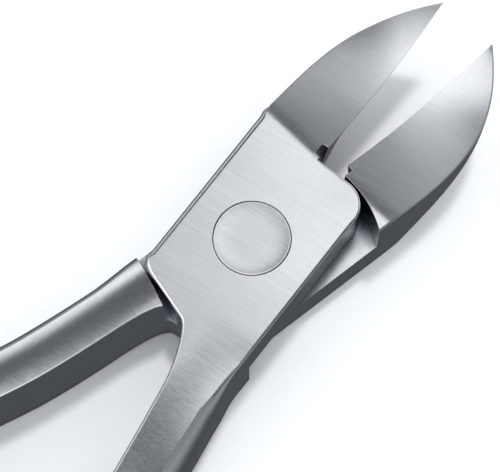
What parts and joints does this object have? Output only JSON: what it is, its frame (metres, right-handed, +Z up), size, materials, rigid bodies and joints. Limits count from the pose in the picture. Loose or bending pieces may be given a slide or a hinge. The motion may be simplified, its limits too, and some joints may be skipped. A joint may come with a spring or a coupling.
{
  "type": "nail clipper",
  "caption": "Nail nipper of the lap-joint plier type: two crossed steel halves on a flush rivet, curved pointed jaws, leaf springs between the handles and an end catch.",
  "frame": {"origin": "on the pivot rivet's axis at the underside of the lap joint, the plane the tool rests on", "axes": "+X along the tool to the jaw tips, +Z up along the rivet's axis away from the resting plane, jaws resting open and evenly about the XZ plane"},
  "size_m": [0.1288, 0.0412, 0.0127],
  "materials": {
    "body_steel": "fine-brushed stainless steel",
    "rivet_steel": "fine-brushed stainless steel, faintly dished up to its rim",
    "spring_steel": "rolled spring steel, satin",
    "fastener_steel": "turned steel, satin"
  },
  "bodies": {
    "lower_half": {"lower_half": "body_steel", "pivot_rivet": "rivet_steel", "spring_screw_lower": "fastener_steel", "catch_stud": "fastener_steel"},
    "upper_half": {"upper_half": "body_steel", "spring_screw_upper": "fastener_steel", "catch_rivet": "fastener_steel"},
    "leaf_lower": {"spring_leaf_lower": "spring_steel"},
    "leaf_upper": {"spring_leaf_upper": "spring_steel"},
    "catch": {"catch_arm": "body_steel"}
  },
  "joints": [
    {"name": "jaw_pivot", "type": "hinge", "parent": "lower_half", "child": "upper_half", "pos_m": [0, 0, 0], "axis": [0, 0, 1], "range_deg": [-12.1, 4.5], "stiffness_Nm_per_rad": 1.2},
    {"name": "leaf_upper_bend", "type": "hinge", "parent": "upper_half", "child": "leaf_upper", "pos_m": [-0.03665, -0.00982, 0.005], "axis": [0, 0, 1], "range_deg": [-5.4, 14.3]},
    {"name": "leaf_lower_bend", "type": "hinge", "parent": "lower_half", "child": "leaf_lower", "pos_m": [-0.03697, 0.00832, 0.005], "axis": [0, 0, 1], "range_deg": [-14.4, 5.5]},
    {"name": "catch_swing", "type": "hinge", "parent": "upper_half", "child": "catch", "pos_m": [-0.09061, -0.01801, 0.0096], "axis": [0, 0, 1], "range_deg": [0, 99.15]}
  ],
  "couplings": [
    {"joint": "leaf_upper_bend", "follows": "jaw_pivot", "ratio": -1.166},
    {"joint": "leaf_lower_bend", "follows": "jaw_pivot", "ratio": 1.18}
  ]
}
